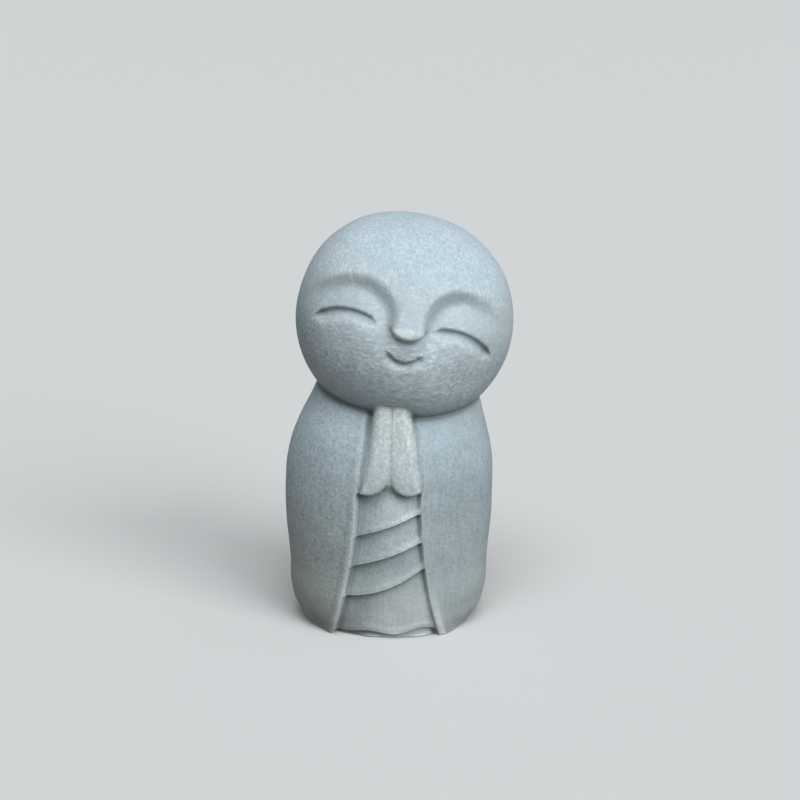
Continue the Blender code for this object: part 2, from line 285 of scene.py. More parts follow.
# The first carving is close but blurred, then evened out
CLOSE_STEPS = 6
EVEN_ROUNDS = 3
ROUGH_BLUR = 0.6
# The bend in degrees past which faces are halved, and the blur of the carving that follows
CARVING_ROUNDS = ((6.5, 0.3), (10.0, 0.15), (15.0, 0.0))
CARVE_STEPS = 2
LONGEST_MOVE = 0.8
LEAST_SLOPE = 0.25
SLOPE_REACH = 0.02
RELAX_SHARE = 0.5
# A face is smoothed out where the cosine of its angle to the surface is less than this
MEND_LIMIT = 0.5
MENDS = 2
MEND_ROUNDS = 3
MEND_MOVE = 0.2

# ---- Wear, tone and painted light ----

# Size and height of the lumps of a surface shaped by hand, in millimetres
UNEVENNESS = ((9.0, 0.12), (3.5, 0.05), (1.3, 0.015))
UNEVEN_ABOVE = (0.3, 2.0)
# How far around a point its edges are felt, and how far out from it the nearness of other
# surfaces is read for painted shade
WEAR_REACH = 0.5
WEAR_CURVE = (0.2, 1.4)
PAINTED_SHADE_REACH = (0.5, 1.2, 2.5, 4.0)

# How each part's marks blend in: the head and hands by distance, the robe inside the opening,
# the rims outside it, and all of the front by distance in front of the middle
HEAD_SEAM = 0.8
HAND_SEAM = 0.5
FRONT_MARKS = (5.0, 8.0)
ROBE_MARKS = (-0.4, 0.2)
RIM_MARKS = (-2.4, -1.2)
RIM_MARKS_END = (-0.6, -0.1)

# Share of the pale concrete on each part, by height: brushing, with painted light and shade where
# noted
CLOAK_TONES = ((0.0, 0.12), (30.0, 0.16), (42.0, 0.24), (52.0, 0.52))
# The sides of the cloak and of the head, by distance from the middle
SIDES = (13.0, 21.0)
CLOAK_SIDE_TONE = 0.07
# Added on the cloak's right
CLOAK_RIGHT_TONES = ((0.0, 0.1), (10.0, 0.08), (22.0, 0.0), (32.0, -0.06), (42.0, -0.02))
CLOAK_RIGHT = (4.0, 14.0)
# The robe's tone by height, paler near the hem: brushing, and partly painted light bounced up
# from below
ROBE_TONES = ((0.0, 0.58), (7.0, 0.48), (12.0, 0.2), (17.0, 0.1), (22.0, 0.3), (29.0, 0.43))
# The robe's tone sets in from its left, and keeps a share beside the cloak: painted shade on the
# robe's left and along the cloak's edges
ROBE_TONE_REACH = (-8.0, 1.0)
ROBE_EDGE_SHARE = 0.4
ROBE_EDGE_REACH = (0.2, 2.0)
# The pale lips of the folds and the hem, brushed and partly a painted highlight, their height
# above the line and their spread
FOLD_LIP_TONE = 0.3
FOLD_LIP_ACROSS = (-7.0, 5.0)
HEM_LIP_TONE = 0.14
LIP_TONE_HEIGHT = 0.7
LIP_TONE_SPREAD = 0.6
# The rims' tone by height; the right rim's pale flared foot is a painted highlight
RIM_TONES = {
    -1: ((0.0, 0.42), (20.0, 0.3), (36.0, 0.26), (50.0, 0.34)),
    1: ((0.0, 0.95), (5.0, 0.7), (11.0, 0.26), (30.0, 0.18), (50.0, 0.34)),
}
# The same on the head, by height from its centre; darker under the chin as painted shade
HEAD_TONES = (
    (-22.0, 0.38), (-14.0, 0.4), (-8.0, 0.52), (0.0, 0.53), (12.0, 0.5), (17.0, 0.46),
    (22.0, 0.42),
)
# Painted shade on the head's sides under the eyes: how far the tone fades at its left and right
SIDE_SHADE = (0.5, 0.25)
SIDE_SHADE_ACROSS = (-6.0, 6.0)
SIDE_SHADE_HEIGHTS = (4.0, -4.0)
# The pale patch on the tip of the nose: how far it lies left of the tip and below it
NOSE_TIP_TONE = 0.34
NOSE_TIP_PATCH = (0.7, 0.5)
NOSE_TIP_PATCH_SPREADS = (2.4, 1.5)
NOSE_TIP_PATCH_EDGE = (-0.8, 0.2)
# The paler left brow
BROW_TONE = 0.1
BROW_TONE_ACROSS = (-5.0, -15.0)
BROW_TONE_HEIGHTS = (4.0, 11.0)
# The darker right cheek
CHEEK_TONE = 0.11
CHEEK_TONE_CENTRE = (16.0, 1.0)
CHEEK_TONE_SPREAD = 5.5
HAND_TONES = ((33.0, 0.24), (38.0, 0.45), (44.0, 0.6), (52.0, 0.6))
# Added on the left hand and on the right one
HAND_TONE_CHANGES = (-0.03, 0.04)
HAND_TONE_ACROSS = (-0.5, 1.0)
# Share of a warm tint, mostly painted warm light bounced up from below: most near the base, none
# at the crown
CLOAK_BOUNCE_HEIGHTS = (48.0, 8.0)
# At the cloak's left and right
CLOAK_BOUNCE_TINT = (1.0, 0.62)
CLOAK_BOUNCE_ACROSS = (-12.0, 12.0)
ROBE_BOUNCE_TINT = ((3.0, 0.9), (14.0, 0.68), (30.0, 0.35), (50.0, 0.22))
HEAD_BOUNCE_TINT = ((-22.0, 0.39), (-10.0, 0.2), (8.0, 0.26), (15.0, 0.0))
# The hands' own creamy tint
HAND_WARMTH = 0.66
# Share of vertical brush strokes
CROWN_STREAKS = ((2.0, 0.0), (10.0, 0.35), (17.0, 1.0))
CLOAK_STREAKS = 0.35
# Below these heights on the head, the grain lies in short slanting dabs
DAB_HEIGHTS = (9.0, 5.0)
# How sandy each part is: the cloak at its left and right, and less so near the base
CLOAK_GRIT = (0.5, 0.32)
CLOAK_GRIT_ACROSS = (-10.0, 10.0)
GRIT_HEIGHTS = (-10.0, 30.0)
ROBE_GRIT = 0.35
HEAD_GRIT = (
    (-16.0, 0.5), (-9.0, 0.75), (-2.0, 0.65), (3.0, 0.3), (9.0, 0.4), (12.0, 0.32), (18.0, 0.1),
)
HAND_GRIT = 0.45
# Painted shade in the carved lines, its width above and below them in millimetres, and how dark
LINE_WIDTHS = (0.5, 0.65)
FACE_LINE_DARK = 0.5
FACE_LINE_FADE = (0.5, 1.0)
# How far the painted shadow in the neck's crease reaches up the head and down the cloak
CREASE_SPREADS = (3.2, 0.9)
# At the neck's left and right
CREASE_DARK = (0.75, 0.58)
CREASE_ACROSS = (-16.0, 10.0)
# Painted shadow under the folds
FOLD_DARK = 0.35
FOLD_DARK_DROP = 0.35
FOLD_DARK_SPREAD = 0.4
FOLD_DARK_EDGE = (-0.2, 0.5)
# Painted shade along the hands' sides, from the cuffs up
VALLEY_DARK = 0.27
VALLEY_WIDTH = 0.3
VALLEY_SPREAD = 0.45
# Painted shade along the foot of the opening's left edge, up to the cuffs
EDGE_FOOT_DARK = 0.18
EDGE_FOOT_IN = 0.2
EDGE_FOOT_SPREAD = 0.8
# Both fade in over this height from the cuffs
CUFF_FADE = 1.5

# ---- The concrete's finish ----

# Sizes of the finish's lumps, in millimetres
GRAIN_SIZE = 0.4
SAND_SIZE = 0.7
PATCH_SIZE = 2.8
CLOUD_SIZE = 9.0
STROKE_SIZE = 0.55
LUMP_DETAIL = 2.0
# How strongly each of them shows in the tone
GRAIN_TONE = 1.0
SAND_TONE = 1.6
PATCH_TONE = 0.2
CLOUD_TONE = 0.14
STROKE_TONE = 0.9
BRUSH_STRETCH = 0.1
DAB_STRETCH = 0.5
DAB_LEAN = math.radians(-20.0)
EDGE_LIGHT = 0.15
EDGE_GRAIN = (0.4, 1.2)
# Painted shade in recesses and carved lines: how dark it gets, and the power that shapes it
PAINTED_SHADE_DARK = 0.8
PAINTED_SHADE_POWER = 1.5
# The ends of the tone: bare concrete that also carries painted shade, and brushed concrete that
# also carries painted light
BARE_AND_SHADED_CONCRETE = (0.242, 0.306, 0.336, 1.0)
BRUSHED_AND_LIT_CONCRETE = (0.575, 0.68, 0.745, 1.0)
WARM_TINGE = (1.0, 0.895, 0.8, 1.0)
# The colour of that painted shade
PAINTED_SHADE_CONCRETE = (0.08, 0.095, 0.10, 1.0)
CREAM_CONCRETE = (0.66, 0.71, 0.70, 1.0)
CREAM_RANGE = (0.55, 1.05)
ROUGHNESS = 0.86
ROUGHNESS_CHANGE = 0.08
SPECULAR = 0.25
GRAIN_DEPTH = 0.1
GRAIN_STRENGTH = 0.8
# The grain's and the strokes' share of that relief, where the sand's is 1
GRAIN_SHARE = 0.5
STROKE_SHARE = 0.5
GRAIN_ROUGHNESS = 0.55

# ---- Floor, view and light ----

FLOOR_REACH = 12.0
FLOOR_COLOUR = (0.6, 0.6, 0.595, 1.0)
FLOOR_ROUGHNESS = 0.9

VIEW_LENS = 85.0
SENSOR_WIDTH = 36.0
CLIP_START = 0.01
VIEW_LIFT = 14.0
VIEW_DISTANCE = 412.0
VIEW_TARGET = (2.35, 0.0, 48.7)

LIGHTS = (
    # name, turn and lift in degrees, strength, colour
    ("key", 0.0, 60.0, 1.9, (0.96, 1.0, 1.05)),
    ("side", 40.0, 30.0, 2.0, (0.99, 1.0, 1.01)),
)
LIGHT_BREADTH = math.radians(35.0)
LIGHT_DISTANCE = 800.0
ROOM_LIGHT = (0.262, 0.268, 0.262, 1.0)
ROOM_SEEN = (0.62, 0.62, 0.61, 1.0)


# ---- Small functions on arrays ----


def ease(start, end, value):
    """0 before start, 1 after end, and smooth between them."""
    share = np.clip((value - start) / (end - start), 0.0, 1.0)
    return share * share * (3.0 - 2.0 * share)


def mix(first, second, share):
    """From first at 0 to second at 1."""
    return first + (second - first) * share


def bump(value, centre, spread):
    """A round hill of height 1."""
    return np.exp(-(((value - centre) / spread) ** 2))


def joined(first, second, fillet):
    """The union of two forms, with a fillet along their seam."""
    share = np.clip(0.5 + 0.5 * (second - first) / fillet, 0.0, 1.0)
    return mix(second, first, share) - fillet * share * (1.0 - share)


def kept(first, second, rounding):
    """What lies inside both forms, with a rounded edge between them."""
    return -joined(-first, -second, rounding)


def by(table, value):
    """Reads a table of (value, result) pairs, straight between them."""
    return np.interp(value, *zip(*table))


def rounded_slab(outline, deep, rounding):
    """Distance to a slab, from the distances to its outline and to its face."""
    flat, deep = outline + rounding, deep + rounding
    corner = np.hypot(np.maximum(flat, 0.0), np.maximum(deep, 0.0))
    return corner + np.minimum(np.maximum(flat, deep), 0.0) - rounding


def ellipsoid(points, radii):
    """Distance to an ellipsoid about the origin, true near its surface."""
    scaled = np.linalg.norm(points / radii, axis=1)
    slope = np.linalg.norm(points / radii**2, axis=1)
    return scaled * (scaled - 1.0) / np.maximum(slope, 1e-9)


def curve_points(corners, count=CURVE_POINTS):
    """Points along a curve drawn on the face."""
    handles = [Vector((x, y, 0.0)) for x, y in corners]
    return np.array([spot.xy for spot in interpolate_bezier(*handles, count)])


def off_curve(corners, across, up, reach):
    """Distance from a curve on the face, positive under it, and the share along it.

    The curve runs straight on from both its ends.
    """
    curve = curve_points(corners)
    low, high = curve.min(axis=0) - reach, curve.max(axis=0) + reach
    near = np.flatnonzero(
        (across > low[0]) & (across < high[0]) & (up > low[1]) & (up < high[1])
    )
    best = np.full(len(near), float(reach))
    along = np.zeros(len(near))
    side = np.ones(len(near))
    for i in range(len(curve) - 1):
        start, step = curve[i], curve[i + 1] - curve[i]
        dx, dy = across[near] - start[0], up[near] - start[1]
        before = -CURVE_LEAD if i == 0 else 0.0
        after = 1.0 + CURVE_LEAD if i == len(curve) - 2 else 1.0
        share = np.clip((dx * step[0] + dy * step[1]) / (step @ step), before, after)
        gap = np.hypot(dx - share * step[0], dy - share * step[1])
        nearer = gap < best
        best = np.where(nearer, gap, best)
        along = np.where(nearer, (i + share) / (len(curve) - 1), along)
        side = np.where(nearer, np.where(step[0] * dy < step[1] * dx, 1.0, -1.0), side)
    gaps = np.full(across.shape, float(reach))
    shares = np.zeros(across.shape)
    gaps[near], shares[near] = best * side, np.clip(along, 0.0, 1.0 - 1e-9)
    return gaps, shares


def stroke(corners, across, up, widths):
    """A line cut along a curve: 1 at its bottom, one width above it and another below."""
    gap, along = off_curve(corners, across, up, STROKE_REACH)
    opening = ease(0.0, STROKE_TAPER, along) * ease(0.0, STROKE_TAPER, 1.0 - along)
    thinned = mix(STROKE_THINNEST, 1.0, opening)
    return opening * bump(gap, 0.0, thinned * np.where(gap < 0.0, *widths))


# ---- The head ----


def socket_relief(side, out, up):
    """The brow's step down into the eye socket, and the lid's slow return."""
    curve = curve_points(BROW_CURVES[side], SOCKET_SPOTS)
    spots = 0.5 * (curve[1:] + curve[:-1])
    lengths = np.linalg.norm(curve[1:] - curve[:-1], axis=1)
    depth = by(BROW_DEPTHS[side], np.linspace(0.0, 1.0, len(spots)))
    hollow = np.zeros(out.shape)
    for spot, weight in zip(spots, depth * lengths / (SOCKET_REACH * math.sqrt(math.pi))):
        away = (out - spot[0]) ** 2 + (up - spot[1]) ** 2
        hollow += weight * np.exp(-away / SOCKET_REACH**2)
    gap, along = off_curve(BROW_CURVES[side], out, up, BROW_REACH)
    step = mix(*BROW_STEPS, ease(*BROW_STEP_SHARES, along))
    inside = ease(-step, step, gap)
    return hollow * (BROW_SWELL * bump(gap, BROW_SWELL_AT, BROW_SWELL_SPREAD) - inside)


def eye_relief(side, out, up):
    """A closed eye: a slit with a sharp upper lid, over the swell of the cheek."""
    hill = np.hypot(out - CHEEK_CENTRE[0], up - CHEEK_CENTRE[1])
    slit = EYE_DEPTH * stroke(EYE_CURVES[side], out, up, EYE_WIDTHS)
    return CHEEK_SWELL * bump(hill, 0.0, CHEEK_SPREAD) - slit


def mouth_relief(across, up):
    """A small smile, crisp above and soft below."""
    return -MOUTH_DEPTH * stroke(MOUTH_CURVE, across, up, MOUTH_WIDTHS)


def face_relief(across, up):
    """How far the face stands out from the plain head."""
    relief = mouth_relief(across, up)
    for side in (-1, 1):
        half = ease(-HALF_FACE_FADE, HALF_FACE_FADE, side * across)
        relief += half * socket_relief(side, side * across, up)
        relief += half * eye_relief(side, side * across, up)
    return relief


def nose_outline(across, up):
    """Distance to the nose's outline on the face, and the height up from its tip."""
    across, up = across - NOSE_TIP[0], up - NOSE_TIP[1]
    out = across * math.cos(NOSE_LEAN) + up * math.sin(NOSE_LEAN)
    rise = up * math.cos(NOSE_LEAN) - across * math.sin(NOSE_LEAN)
    half_width = mix(*NOSE_HALF_WIDTHS, ease(0.0, NOSE_TAPER, rise))
    tip_radii = np.array((NOSE_HALF_WIDTHS[0], NOSE_TIP_DROP))
    tip = ellipsoid(np.stack((out, rise), axis=1), tip_radii)
    return np.where(rise > 0.0, np.abs(out) - half_width, tip), rise


def nose(plain, across, up):
    """Distance to the nose: a ridge growing out of the forehead, with a blunt round tip."""
    outline, rise = nose_outline(across, up)
    crown = NOSE_CROWN * np.clip(1.0 + outline / NOSE_HALF_WIDTHS[0], 0.0, 1.0) ** 2
    rounding = mix(*NOSE_ROUNDINGS, ease(*NOSE_ROUNDING_RISE, rise))
    height = mix(*NOSE_RELIEF, 1.0 - ease(*NOSE_SLOPE, rise))
    return rounded_slab(outline, plain - height + crown, rounding)


def nose_crease(across, up):
    """The fine line that sets the nose off from the lip, deeper at its right."""
    outline, rise = nose_outline(across, up)
    line = bump(outline, NOSE_CREASE_OUT, NOSE_CREASE_HALF_WIDTH)
    depth = mix(*NOSE_CREASE_DEPTHS, ease(*NOSE_CREASE_ACROSS, across - NOSE_TIP[0]))
    return depth * line * (1.0 - ease(*NOSE_CREASE_RISE, rise))


def in_head_frame(points):
    """Points as (across, depth, up) from the head's centre, in its own leaning frame."""
    return (points - HEAD_CENTRE) @ HEAD_TURN


def plain_head(local):
    """Distance to the head without its face: an ellipsoid, a little square at the crown."""
    across, depth, up = np.abs(local / HEAD_RADII).T
    crown = mix(*CROWN_SQUARENESS, ease(*SQUARENESS_ACROSS, local[:, 0]))
    power = mix(2.0, crown, ease(*CROWN_SHARES, local[:, 2] / HEAD_RADII[2]))
    fullness = mix(*CHIN_FULLNESS, ease(*CHIN_ACROSS, local[:, 0]))
    depth = depth / (1.0 + fullness * ease(*CHIN_DOWN, local[:, 2]))
    scaled = np.hypot((across**power + up**power) ** (1.0 / power), depth)
    slope = np.linalg.norm(local / HEAD_RADII**2, axis=1)
    return scaled * (scaled - 1.0) / np.maximum(slope, 1e-9)


def head(points):
    """Distance to the head with its face."""
    local = in_head_frame(points)
    distance = plain_head(local)
    front = np.flatnonzero((local[:, 1] < -FACE_FADE[0]) & (np.abs(distance) < NEAR))
    face = local[front]
    across, up = face[:, 0], face[:, 2]
    fade = ease(*FACE_FADE, -face[:, 1])
    carved = distance[front] - fade * face_relief(across, up)
    _, rise = nose_outline(across, up)
    fillet = mix(*NOSE_FILLETS, ease(*NOSE_FILLET_RISE, rise))
    carved = joined(carved, nose(distance[front], across, up), fillet)
    distance[front] = carved + fade * nose_crease(across, up)
    return distance


# ---- The cloak and the robe under it ----


def cloak_half_width(height):
    """The cloak's half-width on a smooth curve through the stations, and that curve's slope."""
    heights, widths = CLOAK_STATIONS.T
    slopes = np.gradient(widths, heights)
    i = np.clip(np.searchsorted(heights, height) - 1, 0, len(heights) - 2)
    span = heights[i + 1] - heights[i]
    t = np.clip((height - heights[i]) / span, -0.5, 1.0)
    start = (1 + 2 * t) * (1 - t) ** 2 * widths[i] + t * (1 - t) ** 2 * span * slopes[i]
    end = (3 - 2 * t) * t**2 * widths[i + 1] + (t - 1) * t**2 * span * slopes[i + 1]
    rise = 6 * (t - t**2) * (widths[i + 1] - widths[i]) / span
    rise += (1 - 4 * t + 3 * t**2) * slopes[i] + (3 * t**2 - 2 * t) * slopes[i + 1]
    return start + end, rise


def opening_edge(side, height):
    """The cloak's front edge on one side (-1 or 1): flared to the hem, closing to the chin."""
    over = height - OPENING_WIDEST_AT
    above = np.clip(over / (OPENING_TOP - OPENING_WIDEST_AT), 0.0, OPENING_ENDS[0])
    below = np.clip(-over / OPENING_WIDEST_AT, 0.0, OPENING_ENDS[1])
    half_width = OPENING_HALF_WIDTH - CHIN_NARROWING * above**NARROWING_POWER
    half_width = half_width + FLARE_AT_HEM[side] * below ** FLARE_POWER[side]
    return OPENING_CENTRE_X + side * half_width


def inside_opening(x, height):
    """How far a point lies inside the nearer front edge of the cloak."""
    return np.minimum(x - opening_edge(-1, height), opening_edge(1, height) - x)


def fold_line(x, fold):
    """Height of one fold line of the robe."""
    height, rise, curve = fold
    return height + rise * x + curve * x * x


def hem_line(x):
    """Height of the wavy hem."""
    return HEM_LEVEL + sum(rise * bump(x, centre, spread) for centre, rise, spread in HEM_ARCHES)


def robe_depth(x, height):
    """How deep the robe's layers lie: each tucked under the next, and proud at its lower lip."""
    lines = [np.full(x.shape, ROBE_TOP), *(fold_line(x, fold) for fold in FOLDS), hem_line(x)]
    rightwards = ease(-ROBE_HALF_WIDTH, ROBE_HALF_WIDTH, x)
    lip = mix(*LIP_DEPTHS, rightwards)
    tuck = mix(TUCK_DEPTH_AT_LEFT, by(TUCK_DEPTHS_AT_RIGHT, height), rightwards)
    depth = tuck
    for high, low in zip(lines, lines[1:]):
        share = np.clip((height - low) / (high - low), 0.0, 1.0)
        layer = mix(tuck, lip, (1.0 - share) ** 2)
        layer -= FOLD_LIP * bump(height, low + FOLD_LIP_HEIGHT, FOLD_LIP_SPREAD)
        depth = mix(layer, depth, ease(-FOLD_STEP, 0.0, height - high))
    over_cuffs = height - CUFF_HEIGHT
    beside = 1.0 - ease(*GROOVE_WIDTHS, inside_opening(x, height))
    beside = beside * ease(*GROOVE_START_BESIDE, over_cuffs)
    behind = ease(0.0, GROOVE_START_BEHIND, over_cuffs)
    depth = mix(depth, GROOVE_DEPTH, np.maximum(beside, behind))
    return depth + hem_undercut(x, height)


def hem_undercut(x, height):
    """The step in under the hem, with a foot swelling out under each arch."""
    feet = sum(bump(x, centre, FOOT_SHARE * spread) for centre, _, spread in HEM_ARCHES)
    under = HEM_UNDERCUT - FOOT_SWELL * feet * bump(height, 0.0, FOOT_HEIGHT)
    return (1.0 - ease(-HEM_STEP, 0.0, height - hem_line(x))) * under


def cloak_relief(x, height):
    """Relief of the body's front: rims outside the opening, the robe's layers inside it."""
    by_hands = ease(*OPENING_CHANGE, height - CUFF_HEIGHT)
    within = 1.0
    for side in (-1, 1):
        step = (mix(*pair, by_hands) for pair in zip(OPENING_STEPS[side], OPENING_STEP_BY_HANDS))
        within = within * ease(*step, side * (opening_edge(side, height) - x))
    relief = -within * robe_depth(x, height)
    for side in (-1, 1):
        outside = side * (x - opening_edge(side, height))
        heights, widths, rises = zip(*RIMS[side])
        share = (outside - RIM_START) / np.interp(height, heights, widths)
        arch = np.sin(math.pi * np.clip(share, 0.0, 1.0) ** RIM_POWER)
        relief += np.interp(height, heights, rises) * arch
    return relief


def body(points):
    """Distance to the body in its cloak."""
    x, y, height = points.T
    swayed = x - by(SWAY, height)
    share = mix(*BODY_DEPTH_SHARES, ease(*SHOULDER_HEIGHTS, height))
    share += BASE_DEPTH_GAIN * np.exp(-np.maximum(height, 0.0) / BASE_DEPTH_HEIGHT)
    plan = np.hypot(swayed, y / share)
    half_width, rise = cloak_half_width(height)
    steepness = np.hypot(swayed, y / share**2) / np.maximum(plan, 1e-6)
    distance = (plan - half_width) / np.hypot(steepness, rise)
    near = (np.abs(x) < FRONT_HALF_WIDTH) & (np.abs(distance) < NEAR)
    front = np.flatnonzero((y < -FRONT_FADE[0]) & near)
    fade = ease(*FRONT_FADE, -y[front])
    distance[front] -= fade * cloak_relief(x[front], height[front])
    return np.maximum(distance, height - CLOAK_STATIONS[-1][0])


# ---- The hands ----


def hands_outline(x, height, share):
    """The joined hands in their sleeves, seen from the front: scalloped cuffs, round tips."""
    sides, cuffs, tips = [], [], []
    within = np.clip(share, 0.0, 1.0)
    for side, arc_centre, arc_radius, cuff_edge, tip_edge, bow, tip_centre in HANDS:
        outer = side * (x - mix(cuff_edge, tip_edge, share)) - 4.0 * bow * within * (1.0 - within)
        sides.append(outer)
        drop = np.minimum(height - arc_centre[1], 0.0)
        cuffs.append(np.hypot(x - arc_centre[0], drop) - arc_radius)
        radii = np.array((abs(tip_edge - tip_centre), TIP_ARC))
        arc = np.stack((np.maximum(side * (x - tip_centre), 0.0), height - TIP_HEIGHT), axis=1)
        tips.append(np.where(height > TIP_HEIGHT, ellipsoid(arc, radii), -FAR))
    cuff = np.minimum(np.minimum(*cuffs), CUSP_TAPER * (CUSP_HEIGHT - height))
    return kept(np.maximum(*sides), kept(cuff, np.maximum(*tips), HAND_CORNER), HAND_CORNER)


def hands(points):
    """Distance to the joined hands, with the line between the palms."""
    distance = np.full(len(points), FAR)
    x, y, height = points.T
    low, high = HANDS_ROOM_HEIGHTS
    within = (np.abs(x) < HANDS_ROOM_HALF_WIDTH) & (height > low) & (height < high)
    near = np.flatnonzero((y < HANDS_ROOM_BACK) & within)
    x, y, height = points[near].T
    share = (height - CUFF_HEIGHT) / (TIP_HEIGHT - CUFF_HEIGHT)
    off_line = x - mix(*PALM_LINE_X, share)
    off_crown = np.clip(np.abs(off_line) / PALM_HALF_WIDTH - 1.0, -1.0, 1.0)
    crown = PALM_CROWN * (1.0 - off_crown**2)
    line = PALM_LINE_DEPTH * bump(off_line, 0.0, PALM_LINE_HALF_WIDTH)
    rounding = mix(*HAND_ROUNDING, ease(0.0, HAND_ROUNDING_SHARE, share))
    deep = mix(*HAND_FRONT, share) - crown + line - y
    distance[near] = rounded_slab(hands_outline(x, height, share), deep, rounding)
    return distance


def statue(points):
    """Distance to the whole casting, in millimetres."""
    distance = joined(body(points), head(points), NECK_FILLET)
    fillet = mix(*HAND_BLEND, ease(0.0, HAND_BLEND_HEIGHT, points[:, 2] - CUFF_HEIGHT))
    distance = joined(distance, hands(points), fillet)
    return kept(distance, UNDERSIDE - points[:, 2], BASE_ROUNDING)


# ---- Carving ----


def softened(points, blur):
    """Distance to the casting with its finest relief blurred away."""
    if blur == 0.0:
        return statue(points)
    offsets = blur * np.vstack((np.eye(3), -np.eye(3)))
    return sum(statue(points + offset) for offset in offsets) / len(offsets)


def gradient(points, blur=0.0):
    """The distance at each point, and its slope."""
    here = softened(points, blur)
    slope = np.empty_like(points)
    for axis in range(3):
        shifted = points.copy()
        shifted[:, axis] += SLOPE_REACH
        slope[:, axis] = (softened(shifted, blur) - here) / SLOPE_REACH
    return here, slope


def surface_normals(points):
    """The way out of the surface at each point."""
    _, slope = gradient(points)
    return slope / np.linalg.norm(slope, axis=1, keepdims=True)


def places(shape):
    """The mesh's vertices in millimetres."""
    flat = np.empty(len(shape.vertices) * 3)
    shape.vertices.foreach_get("co", flat)
    return flat.reshape(-1, 3) / MM


def set_places(shape, points):
    """Moves the mesh's vertices to these points, given in millimetres."""
    shape.vertices.foreach_set("co", (points * MM).ravel())
    shape.update()


def carve(shape, steps, blur=0.0, longest=LONGEST_MOVE):
    """Moves the vertices onto the statue's surface."""
    points = places(shape)
    for _ in range(steps):
        distance, slope = gradient(points, blur)
        size = np.maximum((slope**2).sum(axis=1), LEAST_SLOPE)
        move = distance[:, None] * slope / size[:, None]
        length = np.linalg.norm(move, axis=1, keepdims=True)
        points -= move * np.minimum(1.0, longest / np.maximum(length, 1e-9))
    set_places(shape, points)


def smooth(work, vertices, rounds):
    """Moves vertices towards the middle of their neighbours."""
    for _ in range(rounds):
        bmesh.ops.smooth_vert(
            work, verts=vertices, factor=RELAX_SHARE, use_axis_x=True, use_axis_y=True,
            use_axis_z=True,
        )


def relax(shape, rounds):
    """Evens out the vertices' spacing."""
    work = bmesh.new()
    work.from_mesh(shape)
    smooth(work, work.verts, rounds)
    work.to_mesh(shape)
    work.free()


def refine(shape, angle):
    """Halves the edges of the faces that the surface bends across by more than an angle."""
    normals = surface_normals(places(shape))
    work = bmesh.new()
    work.from_mesh(shape)
    limit = math.cos(math.radians(angle))
    bent = set()
    for face in work.faces:
        corners = normals[[vertex.index for vertex in face.verts]]
        if (corners @ corners.T).min() < limit:
            bent.update(edge.index for edge in face.edges)
    edges = [edge for edge in work.edges if edge.index in bent]
    bmesh.ops.subdivide_edges(work, edges=edges, cuts=1, use_grid_fill=True)
    work.to_mesh(shape)
    work.free()


def mend(shape):
    """Smooths out the few faces that were left standing across the surface."""
    normals = surface_normals(places(shape))
    work = bmesh.new()
    work.from_mesh(shape)
    torn = set()
    for face in work.faces:
        corners = [vertex.index for vertex in face.verts]
        if (normals[corners] @ np.array(face.normal)).min() < MEND_LIMIT:
            torn.update(corners)
    smooth(work, [vertex for vertex in work.verts if vertex.index in torn], MEND_ROUNDS)
    work.to_mesh(shape)
    work.free()


# ---- The casting ----


def rough_casting():
    """The body, head and hands roughed out from plain forms, and remeshed into one skin."""
    rough = bmesh.new()
    heights = np.linspace(ROUGH_TOP, 0.0, ROUGH_RINGS)
    widths, _ = cloak_half_width(heights)
    outline = [(0.0, heights[0])] + list(zip(widths, heights)) + [(0.0, 0.0)]
    spots = [rough.verts.new((x * MM, 0.0, z * MM)) for x, z in outline]
    edges = [rough.edges.new(pair) for pair in zip(spots, spots[1:])]
    bmesh.ops.spin(
        rough, geom=spots + edges, axis=(0, 0, 1), cent=(0, 0, 0), steps=ROUGH_SEGMENTS,
        angle=math.tau, use_merge=True,
    )
    bmesh.ops.remove_doubles(rough, verts=rough.verts, dist=ROUGH_WELD * MM)
    bmesh.ops.scale(rough, vec=(1.0, BODY_DEPTH_SHARES[0], 1.0), verts=rough.verts)
    balls = (
        (HEAD_CENTRE, HEAD_ROLL, HEAD_RADII),
        (ROUGH_HANDS_CENTRE, 0.0, ROUGH_HANDS_RADII),
    )
    for centre, roll, radii in balls:
        middle = Matrix.Translation(Vector(centre) * MM) @ Matrix.Rotation(roll, 4, "Y")
        size = Matrix.Diagonal((*(Vector(radii) * MM), 1.0))
        bmesh.ops.create_uvsphere(
            rough, u_segments=ROUGH_SEGMENTS, v_segments=ROUGH_SEGMENTS // 2, radius=1.0,
            matrix=middle @ size,
        )
    bmesh.ops.recalc_face_normals(rough, faces=rough.faces)
    shape = bpy.data.meshes.new("rough_casting")
    rough.to_mesh(shape)
    rough.free()
    casting = bpy.data.objects.new("rough_casting", shape)
    bpy.context.scene.collection.objects.link(casting)
    skin = casting.modifiers.new("skin", "REMESH")
    skin.mode = "VOXEL"
    skin.voxel_size = ROUGH_VOXEL * MM
    bpy.context.view_layer.update()
    evaluated = casting.evaluated_get(bpy.context.evaluated_depsgraph_get())
    skinned = bpy.data.meshes.new_from_object(evaluated)
    bpy.data.objects.remove(casting)
    return skinned


def statue_casting():
    """The whole casting, carved."""
    shape = rough_casting()
    carve(shape, CLOSE_STEPS, blur=ROUGH_BLUR)
    for _ in range(EVEN_ROUNDS):
        relax(shape, 2)
        carve(shape, CARVE_STEPS, blur=ROUGH_BLUR)
    for angle, blur in CARVING_ROUNDS:
        refine(shape, angle)
        for _ in range(2):
            relax(shape, 1)
            carve(shape, CARVE_STEPS, blur)
    carve(shape, CARVE_STEPS)
    for _ in range(MENDS):
        mend(shape)
        carve(shape, CARVE_STEPS, longest=MEND_MOVE)
    shape.shade_smooth()
    shape.name = "jizo_casting"
    casting = bpy.data.objects.new("jizo_casting", shape)
    bpy.context.scene.collection.objects.link(casting)
    return casting


# ---- Wear, painted light and finish ----


def mark(shape, name, values):
    """Keeps a number for each vertex, for the finish to read."""
    layer = shape.attributes.new(name, "FLOAT", "POINT")
    layer.data.foreach_set("value", np.clip(values, 0.0, 1.0).astype(np.float32))


